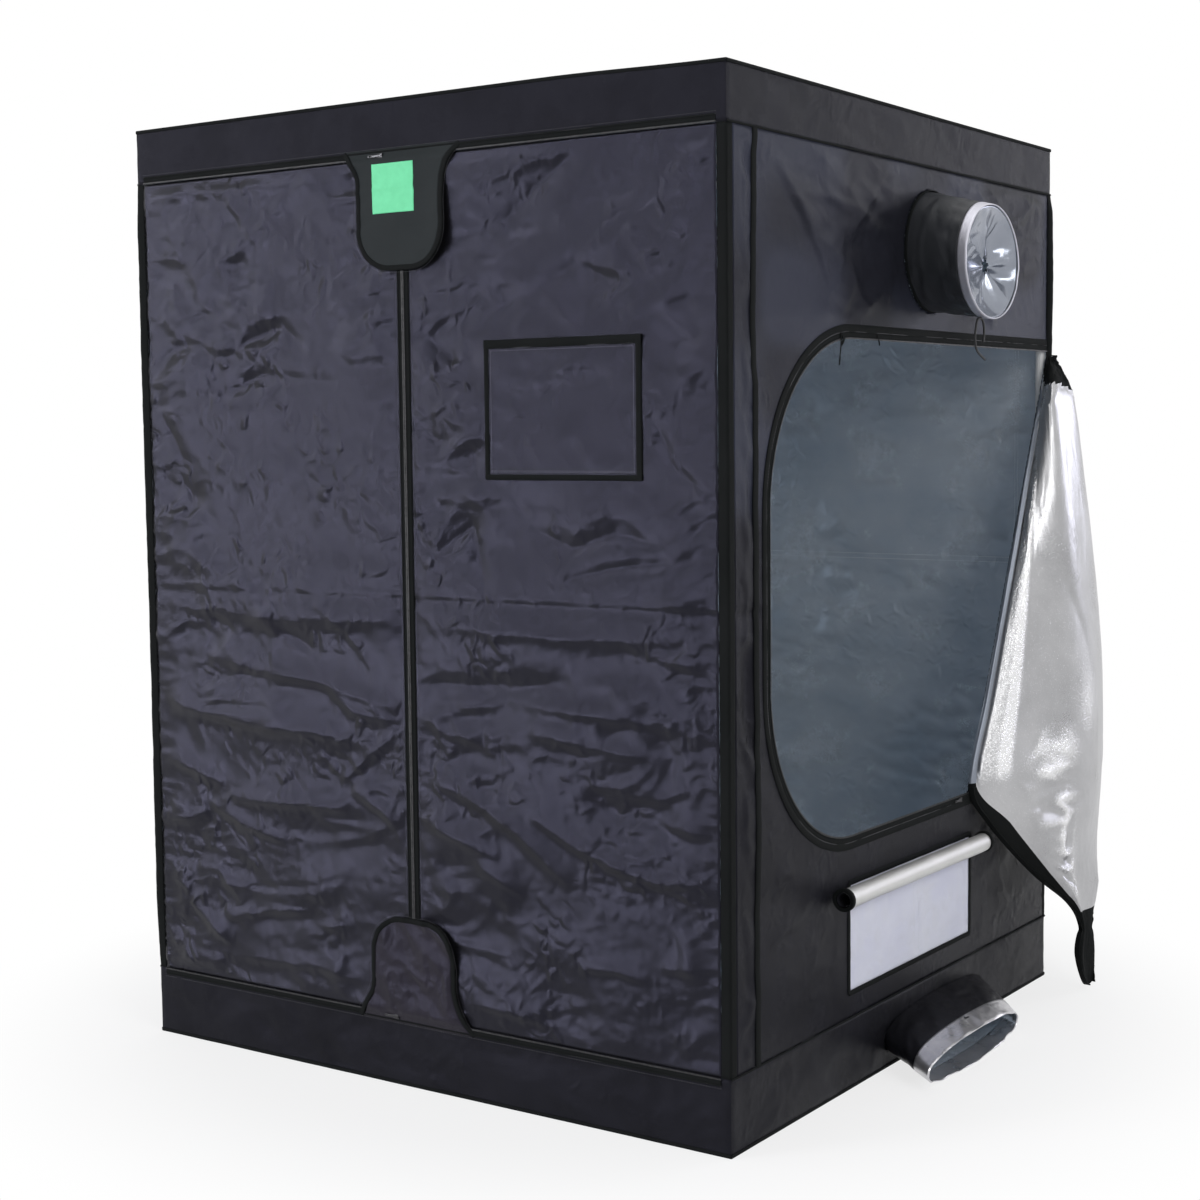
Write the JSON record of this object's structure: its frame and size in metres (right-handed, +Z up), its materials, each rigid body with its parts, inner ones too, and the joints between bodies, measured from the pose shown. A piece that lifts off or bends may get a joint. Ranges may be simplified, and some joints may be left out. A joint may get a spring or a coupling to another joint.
{
  "type": "indoor grow tent",
  "caption": "Square indoor grow tent on a steel tube frame, with a zipped double front door, a folded-open side door, a mesh vent and duct sleeves.",
  "frame": {"origin": "centre of the tent's square floor, on the ground", "axes": "+Z up; the front double door faces -Y; the side door, vent and duct sleeves face +X"},
  "size_m": [1.6608, 1.676, 2],
  "materials": {
    "oxford_cloth": "coated woven cloth, slightly shiny and creased",
    "binding_tape": "matt woven binding and zip tape",
    "silver_lining": "embossed reflective film on cloth",
    "steel_tube": "white powder coat",
    "corner_steel": "white powder coat",
    "zip_metal": "black lacquered zip slider",
    "vent_mesh": "fine pale insect mesh",
    "window_film": "clear flexible film",
    "green_label": "plain sewn patch"
  },
  "bodies": {
    "tent": {"base_band": "oxford_cloth", "top_band": "oxford_cloth", "floor_panel": "oxford_cloth", "roof_panel": "oxford_cloth", "rear_wall": "oxford_cloth", "left_wall": "oxford_cloth", "right_wall": "oxford_cloth", "side_door_panel": "oxford_cloth", "upper_sleeve": "oxford_cloth", "lower_sleeve": "oxford_cloth", "corner_tape_front_left": "binding_tape", "corner_tape_front_right": "binding_tape", "corner_tape_rear_left": "binding_tape", "corner_tape_rear_right": "binding_tape", "front_top_zip": "binding_tape", "front_base_zip": "binding_tape", "side_door_zip_tape": "binding_tape", "upper_drawcord": "binding_tape", "floor_tray": "silver_lining", "upper_sleeve_cuff": "silver_lining", "upper_sleeve_liner": "silver_lining", "lower_sleeve_cuff": "silver_lining", "vent_mesh": "vent_mesh", "base_rail_front": "steel_tube", "base_rail_rear": "steel_tube", "base_rail_left": "steel_tube", "base_rail_right": "steel_tube", "top_rail_front": "steel_tube", "top_rail_rear": "steel_tube", "top_rail_left": "steel_tube", "top_rail_right": "steel_tube", "upright_front_left": "steel_tube", "upright_front_right": "steel_tube", "upright_rear_left": "steel_tube", "upright_rear_right": "steel_tube", "base_corner_front_left": "corner_steel", "base_corner_front_right": "corner_steel", "base_corner_rear_left": "corner_steel", "base_corner_rear_right": "corner_steel", "top_corner_front_left": "corner_steel", "top_corner_front_right": "corner_steel", "top_corner_rear_left": "corner_steel", "top_corner_rear_right": "corner_steel"},
    "left_leaf": {"front_leaf_left": "oxford_cloth", "front_zip_tape_left": "binding_tape"},
    "right_leaf": {"front_leaf_right": "oxford_cloth", "front_zip_tape_right": "binding_tape", "window_pane": "window_film"},
    "window_flap": {"window_cover": "oxford_cloth"},
    "centre_slider": {"front_zip_slider": "zip_metal"},
    "top_slider": {"top_zip_slider": "zip_metal"},
    "base_slider": {"base_zip_slider": "zip_metal"},
    "side_slider": {"side_door_slider": "zip_metal"},
    "top_cover": {"top_zip_cover": "binding_tape", "green_label": "green_label"},
    "base_cover": {"base_zip_cover": "binding_tape"},
    "door_flap": {"side_door_flap": "silver_lining"},
    "vent_roll": {"vent_cover_roll": "silver_lining"},
    "bar_front": {"hanging_bar_front": "steel_tube"},
    "bar_rear": {"hanging_bar_rear": "steel_tube"}
  },
  "joints": [
    {"name": "left_leaf_swing", "type": "hinge", "parent": "tent", "child": "left_leaf", "pos_m": [-0.7288, -0.7494, 1], "axis": [0, 0, -1], "range_deg": [0, 110], "deforming": ["top_zip_cover", "green_label", "base_zip_cover"]},
    {"name": "right_leaf_swing", "type": "hinge", "parent": "tent", "child": "right_leaf", "pos_m": [0.7288, -0.7494, 1], "axis": [0, 0, 1], "range_deg": [0, 110], "deforming": ["top_zip_cover", "green_label", "base_zip_cover"]},
    {"name": "window_cover_lift", "type": "hinge", "parent": "right_leaf", "child": "window_flap", "pos_m": [0.3845, -0.7513, 1.522], "axis": [-1, 0, 0], "range_deg": [0, 160]},
    {"name": "centre_zip_slide", "type": "slide", "parent": "right_leaf", "child": "centre_slider", "axis": [0, 0, 1], "range_m": [-1.66, 0]},
    {"name": "top_zip_slide", "type": "slide", "parent": "tent", "child": "top_slider", "axis": [1, 0, 0], "range_m": [-0.62, 0]},
    {"name": "base_zip_slide", "type": "slide", "parent": "tent", "child": "base_slider", "axis": [1, 0, 0], "range_m": [-0.62, 0]},
    {"name": "side_zip_slide", "type": "slide", "parent": "tent", "child": "side_slider", "axis": [0, 1, 0], "range_m": [-0.48, 0]},
    {"name": "top_cover_lift", "type": "hinge", "parent": "tent", "child": "top_cover", "pos_m": [0, -0.75105, 1.909], "axis": [-1, 0, 0], "range_deg": [0, 120]},
    {"name": "base_cover_fold", "type": "hinge", "parent": "tent", "child": "base_cover", "pos_m": [0, -0.75105, 0.131], "axis": [1, 0, 0], "range_deg": [0, 120]},
    {"name": "door_flap_swing", "type": "hinge", "parent": "tent", "child": "door_flap", "pos_m": [0.7509, 0.288, 0.5253], "axis": [0, -0.4096, -0.9123], "range_deg": [0, 75]},
    {"name": "vent_roll_lift", "type": "hinge", "parent": "tent", "child": "vent_roll", "pos_m": [0.7503, 0, 0.433], "axis": [0, -1, 0], "range_deg": [0, 45]},
    {"name": "bar_front_slide", "type": "slide", "parent": "tent", "child": "bar_front", "axis": [0, 1, 0], "range_m": [-0.3, 0.25]},
    {"name": "bar_rear_slide", "type": "slide", "parent": "tent", "child": "bar_rear", "axis": [0, 1, 0], "range_m": [-0.25, 0.3]}
  ]
}
